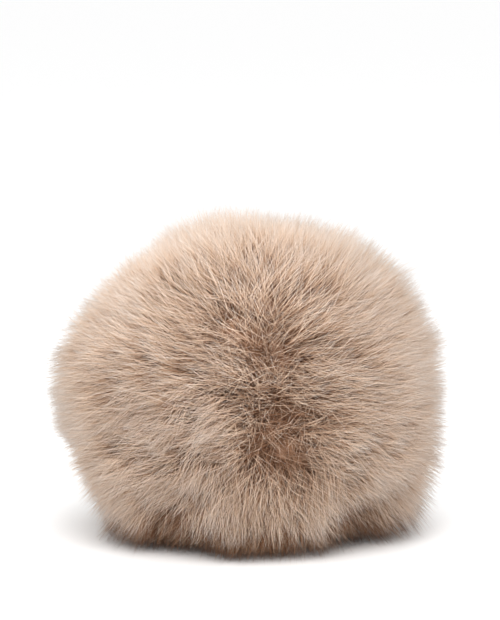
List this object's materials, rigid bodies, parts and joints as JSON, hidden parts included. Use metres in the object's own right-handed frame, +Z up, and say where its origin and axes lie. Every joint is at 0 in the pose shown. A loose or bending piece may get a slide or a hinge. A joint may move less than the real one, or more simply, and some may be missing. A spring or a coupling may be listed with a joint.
{
  "type": "fur pom pom with a sew-on press stud",
  "caption": "Round long-pile fur pom pom for the crown of a knitted hat, with the ball half of a press stud sewn to its back.",
  "frame": {"origin": "on the surface that the pom pom rests on, straight below the middle of its ball", "axes": "+Z up; the pom pom's front faces -Y; +Y along the press stud's axis, out of the back of the fur"},
  "size_m": [0.1292, 0.1237, 0.105],
  "materials": {
    "fur": "long soft pile, beige with dark brown roots and cream tips",
    "lacquer": "glossy black lacquer",
    "brass": "polished, lightly worn"
  },
  "bodies": {
    "root": {"fur": "fur", "stud_plate": "lacquer", "stud_rim": "brass", "stud_ball": "brass"}
  },
  "joints": []
}
